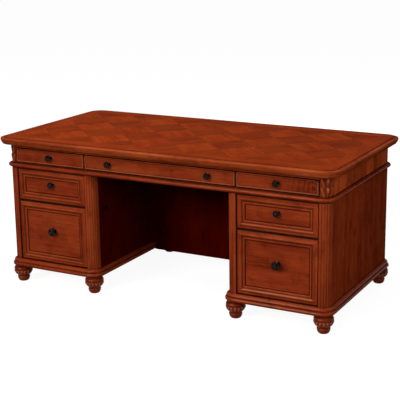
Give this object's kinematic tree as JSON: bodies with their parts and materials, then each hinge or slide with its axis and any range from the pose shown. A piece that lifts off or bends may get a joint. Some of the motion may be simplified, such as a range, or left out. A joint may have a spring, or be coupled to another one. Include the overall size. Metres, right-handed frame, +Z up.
{
  "type": "executive desk",
  "caption": "Double pedestal executive desk in red cherry with parquet top, frieze drawers, box and file drawers, fluted corner posts, carved corner blocks and turned feet.",
  "frame": {"origin": "on the floor under the middle of the desk", "axes": "+X along the length, to the right seen from the drawers' side; the drawers open towards -Y; +Z up"},
  "size_m": [1.829, 0.914, 0.762],
  "materials": {
    "cherry_parquet": "parquet veneer, polished lacquer",
    "cherry_veneer": "polished lacquer",
    "cherry_solid": "polished lacquer",
    "drawer_maple": "clear satin lacquer",
    "frame_poplar": "bare",
    "aged_bronze": "dark aged bronze",
    "lock_metal": "dark aged bronze",
    "zinc_steel": "zinc plated"
  },
  "bodies": {
    "desk": {"base_moulding": "cherry_solid", "carved_corner_blocks": "cherry_solid", "corner_posts": "cherry_solid", "drawer_cross_rails": "frame_poplar", "frieze_back_panel": "cherry_veneer", "frieze_dividers": "frame_poplar", "frieze_drawer_guides": "frame_poplar", "frieze_end_panels": "cherry_veneer", "frieze_top_rail": "cherry_solid", "left_back_panel": "cherry_veneer", "left_bottom_board": "frame_poplar", "left_kneehole_side_panel": "cherry_veneer", "left_outer_side_panel": "cherry_veneer", "lock_barrels": "lock_metal", "modesty_panel": "cherry_veneer", "pedestal_bolts": "zinc_steel", "right_back_panel": "cherry_veneer", "right_bottom_board": "frame_poplar", "right_kneehole_side_panel": "cherry_veneer", "right_outer_side_panel": "cherry_veneer", "slide_cabinet_rails": "zinc_steel", "slide_cleats": "frame_poplar", "top_edge_moulding": "cherry_solid", "top_panel": "cherry_parquet", "turned_feet": "cherry_solid", "waist_board": "frame_poplar", "waist_moulding": "cherry_solid"},
    "centre_drawer": {"centre_drawer_front": "cherry_veneer", "centre_drawer_box": "drawer_maple", "centre_drawer_knobs": "aged_bronze"},
    "left_frieze_drawer": {"left_frieze_drawer_front": "cherry_veneer", "left_frieze_drawer_box": "drawer_maple", "left_frieze_drawer_knob": "aged_bronze"},
    "left_box_drawer": {"left_box_drawer_front": "cherry_veneer", "left_box_drawer_frame": "cherry_solid", "left_box_drawer_box": "drawer_maple", "left_box_drawer_knob": "aged_bronze", "left_box_slide_drawer_members": "zinc_steel"},
    "left_file_drawer": {"left_file_drawer_front": "cherry_veneer", "left_file_drawer_frame": "cherry_solid", "left_file_drawer_box": "drawer_maple", "left_file_drawer_knob": "aged_bronze", "left_file_slide_drawer_members": "zinc_steel"},
    "left_file_slide": {"left_file_slide_middle_members": "zinc_steel"},
    "left_lock": {"left_lock_plug_and_cam": "lock_metal"},
    "right_frieze_drawer": {"right_frieze_drawer_front": "cherry_veneer", "right_frieze_drawer_box": "drawer_maple", "right_frieze_drawer_knob": "aged_bronze"},
    "right_box_drawer": {"right_box_drawer_front": "cherry_veneer", "right_box_drawer_frame": "cherry_solid", "right_box_drawer_box": "drawer_maple", "right_box_drawer_knob": "aged_bronze", "right_box_slide_drawer_members": "zinc_steel"},
    "right_file_drawer": {"right_file_drawer_front": "cherry_veneer", "right_file_drawer_frame": "cherry_solid", "right_file_drawer_box": "drawer_maple", "right_file_drawer_knob": "aged_bronze", "right_file_slide_drawer_members": "zinc_steel"},
    "right_file_slide": {"right_file_slide_middle_members": "zinc_steel"},
    "right_lock": {"right_lock_plug_and_cam": "lock_metal"}
  },
  "joints": [
    {"name": "centre_drawer_slide", "type": "slide", "parent": "desk", "child": "centre_drawer", "axis": [0, -1, 0], "range_m": [0, 0.3]},
    {"name": "left_frieze_drawer_slide", "type": "slide", "parent": "desk", "child": "left_frieze_drawer", "axis": [0, -1, 0], "range_m": [0, 0.3]},
    {"name": "left_box_drawer_slide", "type": "slide", "parent": "desk", "child": "left_box_drawer", "axis": [0, -1, 0], "range_m": [0, 0.4]},
    {"name": "left_file_drawer_slide", "type": "slide", "parent": "desk", "child": "left_file_drawer", "axis": [0, -1, 0], "range_m": [0, 0.58]},
    {"name": "left_file_slide_slide", "type": "slide", "parent": "desk", "child": "left_file_slide", "axis": [0, -1, 0], "range_m": [0, 0.29]},
    {"name": "left_lock_turn", "type": "hinge", "parent": "desk", "child": "left_lock", "pos_m": [-0.3645, -0.295, 0.421], "axis": [1, 0, 0], "range_deg": [0, 90]},
    {"name": "right_frieze_drawer_slide", "type": "slide", "parent": "desk", "child": "right_frieze_drawer", "axis": [0, -1, 0], "range_m": [0, 0.3]},
    {"name": "right_box_drawer_slide", "type": "slide", "parent": "desk", "child": "right_box_drawer", "axis": [0, -1, 0], "range_m": [0, 0.4]},
    {"name": "right_file_drawer_slide", "type": "slide", "parent": "desk", "child": "right_file_drawer", "axis": [0, -1, 0], "range_m": [0, 0.58]},
    {"name": "right_file_slide_slide", "type": "slide", "parent": "desk", "child": "right_file_slide", "axis": [0, -1, 0], "range_m": [0, 0.29]},
    {"name": "right_lock_turn", "type": "hinge", "parent": "desk", "child": "right_lock", "pos_m": [0.3645, -0.295, 0.421], "axis": [1, 0, 0], "range_deg": [0, 90]}
  ],
  "couplings": [
    {"joint": "left_file_slide_slide", "follows": "left_file_drawer_slide", "ratio": 0.5},
    {"joint": "right_file_slide_slide", "follows": "right_file_drawer_slide", "ratio": 0.5}
  ]
}
